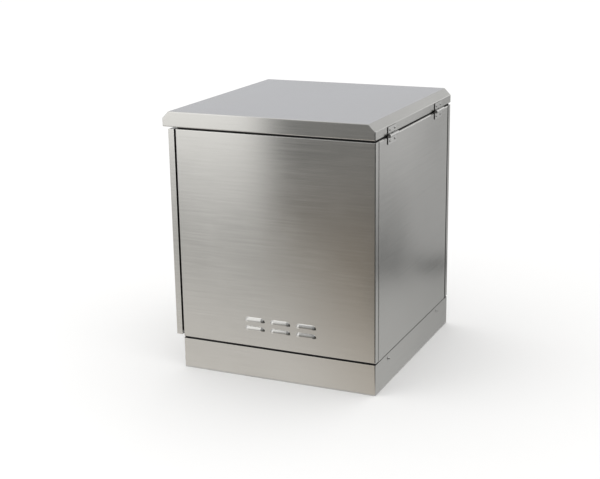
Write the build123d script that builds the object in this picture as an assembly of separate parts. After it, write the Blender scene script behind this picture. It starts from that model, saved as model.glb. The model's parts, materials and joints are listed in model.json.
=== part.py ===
"""Roadside utility cabinet in folded stainless sheet, in millimetres.

+Z is up and the origin is the centre of the plinth's footprint on the ground. The louvred side panels face
-Y and +Y, the rear wall with the lid hinges faces +X, and the door faces -X.
"""
import os
from math import sqrt

from build123d import *

# Body
body_width = 600.0
body_depth = 650.0
plinth_height = 90.0
rim_height = 712.0
sheet = 1.5
bend = 3.0
seam = 0.3
overrun = 5.0
run_clear = 0.05

# Plinth and floor
plinth_sheet = 2.0
plinth_flange = 45.0
anchor_hole_r = 7.0
anchor_inset = 26.0
plinth_screw_drop = 16.0
plinth_screw_inset = 105.0
tray_flange = 32.0
entry_width = 220.0
entry_depth = 340.0
entry_lap = 20.0
gland_sheet = 2.0
grommet_hole_r = 18.0
grommet_lip = 4.0
grommet_lip_height = 3.0
grommet_rows = 2
grommet_columns = 2
grommet_pitch_x = 100.0
grommet_pitch_y = 150.0

# Side panels and their louvres
panel_gap = 5.0
panel_return = 21.0
base_seal_recess = 2.5
louvre_length = 64.0
louvre_height = 12.0
louvre_reach = 6.0
louvre_columns = 3
louvre_rows = 2
louvre_pitch_x = 79.5
louvre_pitch_z = 25.5
louvre_lip_rise = 50.0
louvre_offset = 13.0

# Rear panel, posts and door frame
rear_return = 20.0
rear_bend = 5.0
rear_seam = 4.0
post_sheet = 2.0
post_leg = 12.0
rail_width = 20.0
head_drop = 34.0
sill_rise = 35.0
rivet_r = 2.4
rivet_head_r = 4.8
rivet_head = 1.4
rivet_end_inset = 70.0
rivets_per_post = 3
rivet_leg_share = 0.72

# Lid
lid_gap = 5.0
lid_skirt = 24.0
lid_chamfer = 20.0
lid_overhang = 40.0
lid_side_proud = 2.0
lid_hem = 16.0
lid_soffit = 68.0

# Door
door_gap = 5.0
door_return = 19.0
door_hem = 20.0
door_foot_gap = 10.0
door_top_gap = 1.0

# Rubber rings
seal_width = 8.0
seal_inset = 5.0
seal_clear = 0.3

# Butt hinges
hinge_length = 64.0
hinge_sheet = 2.0
hinge_leaf_width = 24.0
hinge_door_leaf_width = 18.0
hinge_corner_r = 2.5
knuckles = 5
knuckle_gap = 0.3
barrel_r = 5.0
barrel_clear = 0.3
hinge_pin_r = 2.5
hinge_pin_head = 1.5
hinge_screw_inset = 13.0
hinge_screw_offset = 15.0
hinge_door_screw_offset = 12.5
lid_hinge_inset = 124.0
lid_hinge_shift = -3.0
door_hinge_inset = 105.0

# Screws: head radius, head height and shank radius of each kind
screw_crown_share = 0.7
hinge_screw_head_r = 3.6
hinge_screw_head = 2.0
hinge_screw_r = 1.75
hinge_screw_grip = 3.0
plinth_screw_head_r = 6.0
plinth_screw_head = 3.3
plinth_screw_r = 3.0
plinth_screw_grip = 6.0
small_screw_head_r = 4.2
small_screw_head = 2.6
small_screw_r = 2.5
small_screw_grip = 4.0

# Door locks
lock_inset = 50.0
lock_end_inset = 140.0
lock_flange_r = 15.0
lock_flange = 3.0
lock_barrel_r = 11.0
lock_barrel_length = 24.0
lock_nut_flats_r = 15.0
lock_nut = 5.0
rotor_r = 6.0
rotor_collar_r = 8.5
rotor_collar = 2.5
rotor_key_r = 5.0
rotor_key_depth = 1.6
rotor_square = 8.0
cam_sheet = 3.0
cam_width = 18.0
cam_length = 42.0
cam_clear = 1.0
cam_screw_r = 2.0
cam_screw_head_r = 5.5
cam_screw_head = 2.5
cam_screw_grip = 8.0

# Inner lid bolts
bolt_r = 5.0
bolt_length = 100.0
bolt_reach = 18.0
bolt_drop = 18.0
bolt_inset = 135.0
bolt_travel = 20.0
bolt_tip_gap = 3.0
bolt_knob_r = 3.0
bolt_knob_length = 14.0
guide_length = 70.0
guide_height = 24.0
guide_sheet = 3.0
guide_lug = 4.0
guide_screw_inset = 20.0
keeper_sheet = 3.0
keeper_foot = 22.0
keeper_side = 8.0
keeper_hole_clear = 1.5
keeper_edge_gap = 2.0

# Equipment plate, rails and earth bar
plate_side_gap = 64.0
plate_head_gap = 72.0
plate_foot = 60.0
plate_sheet = 2.0
plate_corner_r = 8.0
plate_hole_inset = 20.0
spacer_length = 35.0
spacer_r = 9.0
plate_bolt_r = 4.0
plate_bolt_head_r = 6.5
plate_bolt_head = 5.0
din_width = 35.0
din_web = 27.0
din_height = 7.5
din_sheet = 1.0
din_end_gap = 30.0
din_rise = 130.0
din_pitch = 220.0
din_screw_inset = 30.0
earth_length_share = 0.5
earth_width = 20.0
earth_sheet = 5.0
earth_rise = 40.0
earth_post_r = 8.0
earth_post_length = 20.0
earth_post_inset = 20.0
earth_terminals = 3

# Places that several pieces share
half_width = body_width / 2
half_depth = body_depth / 2
panel_bottom = plinth_height + panel_gap
lid_bottom = rim_height + lid_gap
lid_top = lid_bottom + lid_skirt + lid_chamfer
lid_half_depth = half_depth + lid_side_proud
frame_half_depth = half_depth - panel_return - rear_seam
door_inner_x = -half_width - door_gap
door_outer_x = door_inner_x - door_return
door_bottom = plinth_height + door_foot_gap
door_top = rim_height - door_top_gap
barrel_offset = barrel_r + barrel_clear
lid_axis_z = (rim_height + lid_bottom) / 2
door_axis_x = -half_width - door_gap / 2
door_middle_z = (door_bottom + door_top) / 2
lock_y = -half_depth + lock_inset
post_bottom = panel_bottom + bend
post_top = rim_height - bend
post_edge_x = -half_width + sheet + post_leg
cam_outer_x = post_edge_x + cam_clear
cam_inner_x = cam_outer_x + cam_sheet
bolt_x = -half_width + rail_width + bolt_reach
bolt_z = rim_height - bolt_drop
bolt_centre = half_depth - bolt_inset
keeper_y = bolt_centre + bolt_length / 2 + bolt_tip_gap
plate_back_x = half_width - sheet - spacer_length
plate_front_x = plate_back_x - plate_sheet
plate_bottom = plinth_height + plate_foot
plate_width = 2 * (frame_half_depth - plate_side_gap)
plate_height = rim_height - plate_head_gap - plate_bottom
din_length = plate_width - 2 * din_end_gap
earth_length = plate_width * earth_length_share
earth_post_spacing = earth_length - 2 * earth_post_inset

NEAR, FAR = -1, 1
SIDES = {"near": NEAR, "far": FAR}
LEVELS = {"lower": -1, "upper": 1}
LEFT_FACE = Plane(origin=(0, 0, 0), x_dir=(0, -1, 0), z_dir=(-1, 0, 0))
RIGHT_FACE = Plane(origin=(0, 0, 0), x_dir=(0, 1, 0), z_dir=(1, 0, 0))
NEAR_FACE = Plane(origin=(0, 0, 0), x_dir=(1, 0, 0), z_dir=(0, -1, 0))
FAR_FACE = Plane(origin=(0, 0, 0), x_dir=(-1, 0, 0), z_dir=(0, 1, 0))


def block(x0, x1, y0, y1, z0, z1):
    """A box between two corners."""
    corner = Pos(min(x0, x1), min(y0, y1), min(z0, z1))
    return corner * Box(abs(x1 - x0), abs(y1 - y0), abs(z1 - z0), align=(Align.MIN, Align.MIN, Align.MIN))


def facing(face, x, y, z):
    """The location whose local +Z is the outward normal of a face, at a point."""
    return Location(Plane(origin=(x, y, z), x_dir=face.x_dir, z_dir=face.z_dir))


def rod(radius, start, end):
    """A cylinder along local Z between two heights."""
    low, high = min(start, end), max(start, end)
    return Pos(0, 0, low) * Cylinder(radius, high - low, align=(Align.CENTER, Align.CENTER, Align.MIN))


def rounded_slab(width, height, depth, radius):
    """A slab below its local face z = 0, with the edges of that face rounded as a bend rounds them."""
    slab = extrude(Rectangle(width, height), amount=-depth)
    return fillet(slab.faces().sort_by(Axis.Z)[-1].edges(), radius)


def folded_pan(width, height, depth, thickness, hem=0, radius=bend):
    """A sheet folded back on four sides; a hem turns the returns inwards once more."""
    outer = rounded_slab(width, height, depth, radius)
    floor_depth = depth - thickness if hem else depth + overrun
    inner_width = width - 2 * thickness
    inner_height = height - 2 * thickness
    inner = rounded_slab(inner_width, inner_height, floor_depth - thickness, radius - thickness)
    pan = outer - Pos(0, 0, -thickness) * inner
    if hem:
        mouth = extrude(Rectangle(width - 2 * hem, height - 2 * hem), amount=-thickness - overrun)
        pan -= Pos(0, 0, thickness - depth) * mouth
    return pan


def channel_profile(width, leg, thickness):
    """A folded channel in section: the web lies on y = 0 and the legs hang below it."""
    outer = Pos(0, -leg / 2) * Rectangle(width, leg)
    outer = fillet(outer.vertices().group_by(Axis.Y)[-1], bend)
    inner_leg = leg - thickness + overrun
    inner = Pos(0, -thickness - inner_leg / 2) * Rectangle(width - 2 * thickness, inner_leg)
    inner = fillet(inner.vertices().group_by(Axis.Y)[-1], bend - thickness)
    return outer - inner


def screw(head_r, head, shank_r, grip):
    """A screw with a tapered round head that sits on z = 0 and a shank below."""
    low = (Align.CENTER, Align.CENTER, Align.MIN)
    return Cone(head_r, head_r * screw_crown_share, head, align=low) + rod(shank_r, -grip, 0)


def grid(columns, rows, pitch_x, pitch_y):
    """Centred grid of points."""
    return [
        ((i - (columns - 1) / 2) * pitch_x, (j - (rows - 1) / 2) * pitch_y)
        for i in range(columns)
        for j in range(rows)
    ]


def cut_all(solid, tools):
    for tool in tools:
        solid -= tool
    return solid


# Plinth and floor


def plinth_screw_places():
    z = plinth_height - plinth_screw_drop
    return [
        facing(face, side * half_width, y * (half_depth - plinth_screw_inset), z)
        for face, side in ((RIGHT_FACE, 1), (LEFT_FACE, -1))
        for y in (-1, 1)
    ]


def plinth():
    ring = extrude(RectangleRounded(body_width, body_depth, bend), amount=plinth_height)
    inside = RectangleRounded(body_width - 2 * plinth_sheet, body_depth - 2 * plinth_sheet, bend - plinth_sheet)
    ring -= Pos(0, 0, plinth_sheet) * extrude(inside, amount=plinth_height)
    mouth = Rectangle(body_width - 2 * plinth_flange, body_depth - 2 * plinth_flange)
    ring -= Pos(0, 0, -overrun) * extrude(mouth, amount=plinth_sheet + 2 * overrun)
    spacing_x = body_width - 2 * anchor_inset
    spacing_y = body_depth - 2 * anchor_inset
    anchors = [Pos(x, y, 0) * rod(anchor_hole_r, -overrun, plinth_sheet + overrun)
               for x, y in grid(2, 2, spacing_x, spacing_y)]
    return cut_all(ring, anchors + shank_holes(plinth_screw_places(), plinth_screw_r))


def shank_holes(places, radius):
    """Clearance holes through the sheets behind screw heads."""
    depth = plinth_sheet + seam + 2 * (sheet + post_sheet)
    return [place * rod(radius + run_clear, -depth, overrun) for place in places]


def floor_tray():
    inset = plinth_sheet + seam
    tray = folded_pan(body_width - 2 * inset, body_depth - 2 * inset, tray_flange, sheet)
    entry = extrude(Rectangle(entry_width, entry_depth), amount=-sheet - overrun)
    tray = Pos(0, 0, plinth_height) * (tray - entry)
    tray = cut_all(tray, shank_holes(plinth_screw_places(), plinth_screw_r))
    return cut_all(tray, shank_holes(gland_screw_places(), small_screw_r))


def gland_screw_places():
    x = (entry_width + entry_lap) / 2
    y = (entry_depth + entry_lap) / 2
    z = plinth_height + gland_sheet
    return [Pos(sx * x, sy * y, z) for sx in (-1, 1) for sy in (-1, 1)]


def gland_plate():
    sketch = RectangleRounded(entry_width + 2 * entry_lap, entry_depth + 2 * entry_lap, bend)
    plate = Pos(0, 0, plinth_height) * extrude(sketch, amount=gland_sheet)
    holes = [place * rod(grommet_hole_r, -overrun, gland_sheet + overrun) for place in grommet_places()]
    return cut_all(plate, holes + shank_holes(gland_screw_places(), small_screw_r))


def grommet_places():
    points = grid(grommet_columns, grommet_rows, grommet_pitch_x, grommet_pitch_y)
    return [Pos(x, y, plinth_height) for x, y in points]


def cable_grommet():
    """A rubber plug whose groove holds the edge of the plate; it is cut open when a cable comes."""
    neck = grommet_hole_r - run_clear
    lip = grommet_hole_r + grommet_lip
    body = rod(neck, 0, gland_sheet) + rod(lip, gland_sheet, gland_sheet + grommet_lip_height)
    return body + rod(neck + grommet_lip / 2, -grommet_lip_height, 0)


def base_seal(side):
    x = half_width - base_seal_recess
    outer_y = side * (half_depth - base_seal_recess)
    inner_y = side * (half_depth - panel_return)
    return block(-x, x, outer_y, inner_y, plinth_height, panel_bottom)


# Walls


def louvre_places():
    rise = louvre_lip_rise - (rim_height - panel_bottom) / 2
    step = louvre_pitch_z * (louvre_rows - 1) / 2
    return [Pos(x + louvre_offset, y + rise + step, 0)
            for x, y in grid(louvre_columns, louvre_rows, louvre_pitch_x, louvre_pitch_z)]


def louvre_bulge(shrink):
    """The round-ended upper half of a pressed hood; its axis lies behind the sheet."""
    radius = (louvre_height**2 + louvre_reach**2) / (2 * louvre_reach)
    axis_depth = radius - louvre_reach
    straight = louvre_length - 2 * louvre_height
    size = radius - shrink
    bulge = Rot(0, 90, 0) * rod(size, -straight / 2, straight / 2)
    for end in (-1, 1):
        bulge += Pos(end * straight / 2, 0, 0) * Sphere(size)
    above = block(-louvre_length, louvre_length, 0, 2 * radius, axis_depth - sheet, 2 * radius)
    return Pos(0, 0, -axis_depth) * (bulge & above)


def side_panel(face, side):
    height = rim_height - panel_bottom
    panel = folded_pan(body_width, height, panel_return, sheet)
    hood = louvre_bulge(0)
    hollow = louvre_bulge(sheet)
    mirror_x = -side
    for place in louvre_places():
        spot = Pos(mirror_x * place.position.X, place.position.Y, 0)
        panel = panel + spot * hood - spot * hollow
    panel = facing(face, 0, side * half_depth, (rim_height + panel_bottom) / 2) * panel
    if side == FAR:
        panel = cut_all(panel, shank_holes(door_hinge_screw_places("fixed"), hinge_screw_r))
    return panel


def rear_panel():
    width = 2 * frame_half_depth
    panel = folded_pan(width, rim_height - plinth_height, rear_return, sheet, radius=rear_bend)
    panel = facing(RIGHT_FACE, half_width, 0, (rim_height + plinth_height) / 2) * panel
    holes = shank_holes(lid_hinge_screw_places("fixed"), hinge_screw_r)
    return cut_all(panel, holes + rivet_holes())


def corner_post(end, side, holes=()):
    """A folded channel in a corner, with its web on the return of the side panel."""
    outer_y = half_depth - sheet
    width = outer_y - frame_half_depth
    profile = channel_profile(width, post_leg, post_sheet)
    web = Plane(origin=(end * (half_width - sheet), side * (outer_y + frame_half_depth) / 2, post_bottom),
                x_dir=(0, -end, 0), z_dir=(0, 0, 1))
    post = extrude(web * profile, amount=post_top - post_bottom)
    return cut_all(post, holes)


def rivet_places():
    """Rivets from inside the rear panel's returns into the legs of the rear posts."""
    x = half_width - sheet - post_leg * rivet_leg_share
    first = post_bottom + rivet_end_inset
    pitch = (post_top - rivet_end_inset - first) / (rivets_per_post - 1)
    places = []
    for side, face in ((NEAR, FAR_FACE), (FAR, NEAR_FACE)):
        y = side * (frame_half_depth - sheet)
        places += [facing(face, x, y, first + i * pitch) for i in range(rivets_per_post)]
    return places


def rivet():
    return screw(rivet_head_r, rivet_head, rivet_r, sheet + post_sheet)


def rivet_holes():
    depth = sheet + post_sheet + overrun / 2
    return [place * rod(rivet_r + run_clear, -depth, overrun / 2) for place in rivet_places()]


def door_rail(top, leg):
    """A folded channel along Y between the two side panels."""
    profile = channel_profile(rail_width, leg, sheet)
    x = -half_width + rail_width / 2
    plane = Plane(origin=(x, frame_half_depth, top), x_dir=(1, 0, 0), z_dir=(0, -1, 0))
    return extrude(plane * profile, amount=2 * frame_half_depth)


def rubber_ring(width, height, thickness):
    """Sealing strip glued on in a ring with square corners."""
    inner = Rectangle(width - 2 * seal_width, height - 2 * seal_width)
    return extrude(Rectangle(width, height) - inner, amount=thickness)


def lid_seal():
    ring = rubber_ring(body_width - 2 * seal_inset, body_depth - 2 * seal_inset, lid_gap - seal_clear)
    return Pos(0, 0, rim_height) * ring


def door_seal():
    width = body_depth - 2 * (seal_inset + seal_width / 2)
    height = door_top - door_bottom - 2 * (seal_inset + seal_width / 2)
    place = facing(LEFT_FACE, -half_width, 0, door_middle_z)
    return place * rubber_ring(width, height, door_gap - seal_clear)


# Butt hinges: in the local frame the pin runs along Y, the moving leaf lies towards +X and the wall is z = 0


def knuckle_span(index):
    pitch = hinge_length / knuckles
    start = -hinge_length / 2 + index * pitch
    trim = knuckle_gap / 2
    return start + (trim if index > 0 else 0), start + pitch - (trim if index < knuckles - 1 else 0)


def hinge_leaf(width, screw_offset, side, indices):
    """One leaf with its own knuckles; the others' knuckles turn freely in its gaps."""
    relief = barrel_offset + knuckle_gap
    edge = Pos(side * (width + relief) / 2, 0) * Rectangle(width - relief, hinge_length)
    corners = edge.vertices().sort_by(Axis.X)
    edge = fillet(corners[-2:] if side > 0 else corners[:2], hinge_corner_r)
    leaf = extrude(edge, amount=hinge_sheet)
    for index in indices:
        start, end = knuckle_span(index)
        leaf += block(0, side * (relief + knuckle_gap), start, end, 0, hinge_sheet)
        leaf += Pos(0, 0, barrel_offset) * Rot(-90, 0, 0) * rod(barrel_r, start, end)
    bore = rod(hinge_pin_r + run_clear, -hinge_length, hinge_length)
    leaf -= Pos(0, 0, barrel_offset) * Rot(-90, 0, 0) * bore
    holes = [place * rod(hinge_screw_r + run_clear, -hinge_sheet - overrun, overrun)
             for place in leaf_screw_places(screw_offset, side)]
    return cut_all(leaf, holes)


def leaf_screw_places(screw_offset, side):
    y = hinge_length / 2 - hinge_screw_inset
    return [Pos(side * screw_offset, sy * y, hinge_sheet) for sy in (-1, 1)]


def hinge_pin():
    half = hinge_length / 2
    pin = rod(hinge_pin_r, -half, half)
    for end in (-1, 1):
        pin += rod(barrel_r, end * half, end * (half + hinge_pin_head))
    return Pos(0, 0, barrel_offset) * Rot(-90, 0, 0) * pin


FIXED_KNUCKLES = range(0, knuckles, 2)
MOVING_KNUCKLES = range(1, knuckles, 2)
HINGE_SIDE = {"fixed": -1, "moving": 1}


def lid_hinge_place(side):
    y = lid_hinge_shift + side * (half_depth - lid_hinge_inset)
    return Location(Plane(origin=(half_width, y, lid_axis_z), x_dir=(0, 0, 1), z_dir=(1, 0, 0)))


def door_hinge_place(level):
    z = door_middle_z + level * ((door_top - door_bottom) / 2 - door_hinge_inset)
    return Location(Plane(origin=(door_axis_x, half_depth, z), x_dir=(-1, 0, 0), z_dir=(0, 1, 0)))


def lid_hinge_screw_places(leaf):
    local = leaf_screw_places(hinge_screw_offset, HINGE_SIDE[leaf])
    return [lid_hinge_place(side) * place for side in SIDES.values() for place in local]


def door_hinge_screw_places(leaf):
    offset = {"fixed": hinge_screw_offset, "moving": hinge_door_screw_offset}[leaf]
    local = leaf_screw_places(offset, HINGE_SIDE[leaf])
    return [door_hinge_place(level) * place for level in LEVELS.values() for place in local]


# Lid


def lid_prism(x0, x1, half, z0, z1, chamfer, radius):
    """A box along Y with both long upper edges chamfered and every edge rounded as a bend."""
    left = [(x0, z0), (x0, z1 - chamfer), (x0 + chamfer, z1)]
    right = [(x1 - chamfer, z1), (x1, z1 - chamfer), (x1, z0)]
    plane = Plane(origin=(0, half, 0), x_dir=(1, 0, 0), z_dir=(0, -1, 0))
    prism = extrude(plane * make_face(Polyline(*left, *right, close=True)), amount=2 * half)
    return fillet(prism.edges(), radius)


def lid():
    x0 = -half_width - lid_overhang
    x1 = half_width
    outer = lid_prism(x0, x1, lid_half_depth, lid_bottom, lid_top, lid_chamfer, bend)
    inner_chamfer = lid_chamfer - sheet * (2 - sqrt(2))
    inner = lid_prism(x0 + sheet, x1 - sheet, lid_half_depth - sheet, lid_bottom + sheet, lid_top - sheet,
                      inner_chamfer, bend - sheet)
    mouth_y = lid_half_depth - lid_hem
    mouth = block(x0 + lid_soffit, x1 - lid_hem, -mouth_y, mouth_y, lid_bottom - overrun, lid_bottom + bend)
    holes = shank_holes(lid_hinge_screw_places("moving"), hinge_screw_r)
    return cut_all(outer - inner - mouth, holes)


def lid_keeper(side):
    """A bracket on the lid's wide hem whose hanging leg takes a bolt."""
    edge_x = -half_width - lid_overhang + lid_soffit
    start_x = edge_x + keeper_edge_gap
    end_x = bolt_x + keeper_side
    y0 = side * keeper_y
    y1 = side * (keeper_y + keeper_sheet)
    y2 = side * (keeper_y + keeper_foot)
    foot_z = lid_bottom + sheet
    foot = block(edge_x - keeper_foot, end_x, y0, y2, foot_z, foot_z + keeper_sheet)
    leg = block(start_x, end_x, y0, y1, bolt_z - bolt_r - keeper_side, foot_z + keeper_sheet)
    reach = bolt_r + keeper_hole_clear
    return foot + leg - block(bolt_x - reach, bolt_x + reach, y0 - overrun, y1 + overrun, bolt_z - reach,
                              bolt_z + reach)


# Door and locks


def lock_place(level):
    z = door_middle_z + level * ((door_top - door_bottom) / 2 - lock_end_inset)
    return facing(LEFT_FACE, door_outer_x, lock_y, z)


def door():
    pan = folded_pan(body_depth, door_top - door_bottom, door_return, sheet, door_hem)
    pan = facing(LEFT_FACE, door_outer_x, 0, door_middle_z) * pan
    holes = [lock_place(level) * rod(lock_barrel_r + run_clear, -sheet - overrun, overrun)
             for level in LEVELS.values()]
    hinge_holes = [place * rod(hinge_screw_r + run_clear, -hinge_sheet - sheet - overrun / 2, overrun)
                   for place in door_hinge_screw_places("moving")]
    return cut_all(pan, holes + hinge_holes)


def lock_housing():
    flange = chamfer(rod(lock_flange_r, 0, lock_flange).edges().sort_by(Axis.Z)[-1], lock_flange / 3)
    body = flange + rod(lock_barrel_r, -lock_barrel_length, 0)
    body -= rod(rotor_collar_r + run_clear, lock_flange - rotor_collar, lock_flange + overrun)
    return body - rod(rotor_r + run_clear, -lock_barrel_length - overrun, lock_flange)


def lock_nut_ring():
    hexagon = extrude(RegularPolygon(lock_nut_flats_r, 6, major_radius=False), amount=-lock_nut)
    return Pos(0, 0, -sheet) * (hexagon - rod(lock_barrel_r + run_clear, -lock_nut - overrun, overrun))


def lock_rotor():
    """A spindle with a triangular key recess outside and a square seat for the cam inside."""
    seat_top = door_outer_x - cam_outer_x
    seat_end = door_outer_x - cam_inner_x
    collar_base = lock_flange - rotor_collar
    spindle = rod(rotor_collar_r, collar_base, lock_flange) + rod(rotor_r, seat_top, collar_base)
    seat = extrude(Rectangle(rotor_square, rotor_square), amount=seat_end - seat_top)
    spindle += Pos(0, 0, seat_top) * seat
    key = extrude(RegularPolygon(rotor_key_r, 3), amount=-rotor_key_depth)
    spindle -= Pos(0, 0, lock_flange) * key
    return spindle - Pos(0, 0, seat_end) * rod(cam_screw_r + run_clear, -overrun, cam_screw_grip + overrun / 2)


def lock_cam():
    """A round-ended cam that points up when the door is free to open."""
    tail = cam_width / 2
    strip = Pos(0, (cam_length - tail) / 2) * RectangleRounded(cam_width, cam_length + tail, cam_width / 3)
    hole = Rectangle(rotor_square + 2 * run_clear, rotor_square + 2 * run_clear)
    seat_top = door_outer_x - cam_outer_x
    return Pos(0, 0, seat_top) * extrude(strip - hole, amount=-cam_sheet)


def cam_screw():
    turned = Rot(180, 0, 0) * screw(cam_screw_head_r, cam_screw_head, cam_screw_r, cam_screw_grip)
    return Pos(0, 0, door_outer_x - cam_inner_x) * turned


# Inner lid bolts: local Z is the way the bolt shoots, local X points into the cabinet


def bolt_place(side):
    plane = Plane(origin=(bolt_x, side * bolt_centre, bolt_z), x_dir=(1, 0, 0), z_dir=(0, side, 0))
    return Location(plane)


def lid_bolt():
    bar = rod(bolt_r, -bolt_length / 2, bolt_length / 2)
    bar = chamfer(bar.edges().sort_by(Axis.Z)[-1], bolt_r / 4)
    knob_z = -bolt_travel / 2
    return bar + Pos(0, 0, knob_z) * Rot(0, 90, 0) * rod(bolt_knob_r, 0, bolt_r + bolt_knob_length)


def guide_screw_places(side):
    place = Pos(guide_sheet - bolt_reach, 0, 0) * Rot(0, 90, 0)
    reach = guide_length / 2 - guide_screw_inset
    return [bolt_place(side) * Pos(0, 0, end * reach) * place for end in (-1, 1)]


def lid_bolt_guide(side):
    """A plate on the door head with two drilled lugs."""
    back = -bolt_reach
    half = guide_length / 2
    tall = guide_height / 2
    lug_r = bolt_r + keeper_side / 2
    guide = block(back, back + guide_sheet, -tall, tall, -half, half)
    for end in (-1, 1):
        inner = end * (half - guide_lug)
        guide += block(back, 0, -lug_r, lug_r, end * half, inner) + rod(lug_r, end * half, inner)
    guide -= rod(bolt_r + run_clear, -half - overrun, half + overrun)
    return cut_all(bolt_place(side) * guide, guide_screw_holes(side))


def guide_screw_holes(side):
    return [place * rod(small_screw_r + run_clear, -guide_sheet - sheet - overrun, overrun / 2)
            for place in guide_screw_places(side)]


def door_head():
    rail = door_rail(rim_height, head_drop)
    return cut_all(rail, guide_screw_holes(NEAR) + guide_screw_holes(FAR))


# Equipment plate, rails and earth bar


def plate_bolt_places():
    y = plate_width / 2 - plate_hole_inset
    zs = (plate_bottom + plate_hole_inset, plate_bottom + plate_height - plate_hole_inset)
    return [facing(LEFT_FACE, plate_front_x, sy * y, z) for sy in (-1, 1) for z in zs]


def mounting_plate():
    slab = extrude(RectangleRounded(plate_width, plate_height, plate_corner_r), amount=-plate_sheet)
    plate = facing(LEFT_FACE, plate_front_x, 0, plate_bottom + plate_height / 2) * slab
    depth = -plate_sheet - overrun
    bolts = [place * rod(plate_bolt_r + run_clear, depth, overrun) for place in plate_bolt_places()]
    smalls = [place * rod(small_screw_r + run_clear, depth, overrun)
              for place in din_screw_places() + earth_post_places()]
    return cut_all(plate, bolts + smalls)


def plate_spacer():
    tube = rod(spacer_r, -plate_sheet, -plate_sheet - spacer_length)
    return tube - rod(plate_bolt_r + run_clear, -plate_sheet - spacer_length - overrun, overrun)


def plate_bolt():
    head = extrude(RegularPolygon(plate_bolt_head_r, 6, major_radius=False), amount=plate_bolt_head)
    return head + rod(plate_bolt_r, -plate_sheet - spacer_length, 0)


def din_rail_z(level):
    return plate_bottom + din_rise + din_pitch * (level + 1) / 2


def din_rail(level):
    """A top-hat rail with its web on the plate."""
    web = din_web / 2
    lip = din_width / 2
    t = din_sheet
    h = din_height
    outline = [(-web, 0), (web, 0), (web, h - t), (lip, h - t), (lip, h), (web - t, h), (web - t, t),
               (t - web, t), (t - web, h), (-lip, h), (-lip, h - t), (-web, h - t)]
    end = (plate_front_x, din_length / 2, din_rail_z(level))
    section = Plane(origin=end, x_dir=(0, 0, 1), z_dir=(0, -1, 0))
    rail = extrude(section * make_face(Polyline(*outline, close=True)), amount=din_length)
    holes = [place * rod(small_screw_r + run_clear, -overrun, overrun) for place in din_screw_places()]
    return cut_all(rail, holes)


def din_screw_places():
    y = din_length / 2 - din_screw_inset
    x = plate_front_x - din_sheet
    return [facing(LEFT_FACE, x, sy * y, din_rail_z(level)) for level in LEVELS.values() for sy in (-1, 1)]


def earth_z():
    return plate_bottom + earth_rise


def earth_post_places():
    return [facing(LEFT_FACE, plate_front_x, sy * earth_post_spacing / 2, earth_z()) for sy in (-1, 1)]


def earth_post():
    post = rod(earth_post_r, 0, earth_post_length) + rod(small_screw_r, -plate_sheet, 0)
    return post - rod(small_screw_r + run_clear, earth_post_length / 2, earth_post_length + overrun)


def earth_screw_places():
    front = plate_front_x - earth_post_length - earth_sheet
    pitch = earth_post_spacing / (earth_terminals + 1)
    ys = [-earth_post_spacing / 2 + i * pitch for i in range(earth_terminals + 2)]
    return [facing(LEFT_FACE, front, y, earth_z()) for y in ys]


def earth_bar():
    x = plate_front_x - earth_post_length
    z = earth_z()
    half = earth_length / 2
    bar = block(x - earth_sheet, x, -half, half, z - earth_width / 2, z + earth_width / 2)
    bar = fillet(bar.edges().filter_by(Axis.X), earth_sheet / 2)
    depth = -earth_sheet - overrun
    holes = [place * rod(small_screw_r + run_clear, depth, overrun) for place in earth_screw_places()]
    return cut_all(bar, holes)


def group(places, solid):
    """Equal solids at several places in one node."""
    return Compound(children=[place * solid for place in places])


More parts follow.
